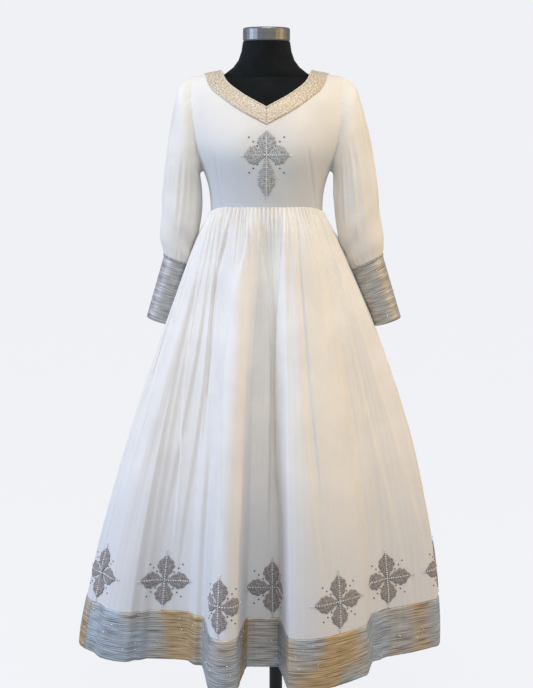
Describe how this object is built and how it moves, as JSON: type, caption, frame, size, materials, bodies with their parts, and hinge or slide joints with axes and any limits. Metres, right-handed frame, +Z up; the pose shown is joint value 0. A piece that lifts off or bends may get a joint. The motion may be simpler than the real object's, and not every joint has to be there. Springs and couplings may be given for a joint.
{
  "type": "habesha kemis dress on a limbless dress form with a stand",
  "caption": "Long-sleeved V-necked habesha kemis with a gathered full skirt, woven bands and embroidered crosses, on a limbless dress form with a pole stand.",
  "frame": {"origin": "on the floor, under the middle of the neck, in the plane of the base's flat underside", "axes": "+X is the wearer's left, -Y is the way the dress faces, +Z is up"},
  "size_m": [0.9266, 0.6068, 1.748],
  "materials": {
    "ivory_chiffon": "fine white cloth, matt, backed",
    "silver_tilet": "ribbed silver-grey woven trimming, satin",
    "champagne_tilet": "champagne woven trimming, satin",
    "grey_embroidery": "grey padded embroidery, slightly lustrous",
    "black_jersey": "black jersey over a smooth form, matt",
    "satin_metal": "satin grey metal",
    "black_enamel": "black enamel, half gloss"
  },
  "bodies": {
    "root": {"bodice_front": "ivory_chiffon", "bodice_back": "ivory_chiffon", "sleeve_left": "ivory_chiffon", "sleeve_right": "ivory_chiffon", "skirt_front": "ivory_chiffon", "skirt_back": "ivory_chiffon", "neck_band_left": "champagne_tilet", "neck_band_right": "champagne_tilet", "neck_band_back": "champagne_tilet", "cuff_left": "silver_tilet", "cuff_right": "silver_tilet", "hem_band_front": "silver_tilet", "hem_band_back": "silver_tilet", "chest_cross": "grey_embroidery", "hem_cross_01": "grey_embroidery", "hem_cross_02": "grey_embroidery", "hem_cross_03": "grey_embroidery", "hem_cross_04": "grey_embroidery", "hem_cross_05": "grey_embroidery", "hem_cross_06": "grey_embroidery", "hem_cross_07": "grey_embroidery", "hem_cross_08": "grey_embroidery", "hem_cross_09": "grey_embroidery", "hem_cross_10": "grey_embroidery", "hem_cross_11": "grey_embroidery", "hem_cross_12": "grey_embroidery", "hem_cross_13": "grey_embroidery", "hem_cross_14": "grey_embroidery", "form_torso": "black_jersey", "form_neck_cap": "satin_metal", "stand_pole": "black_enamel", "stand_base": "black_enamel"}
  },
  "joints": []
}
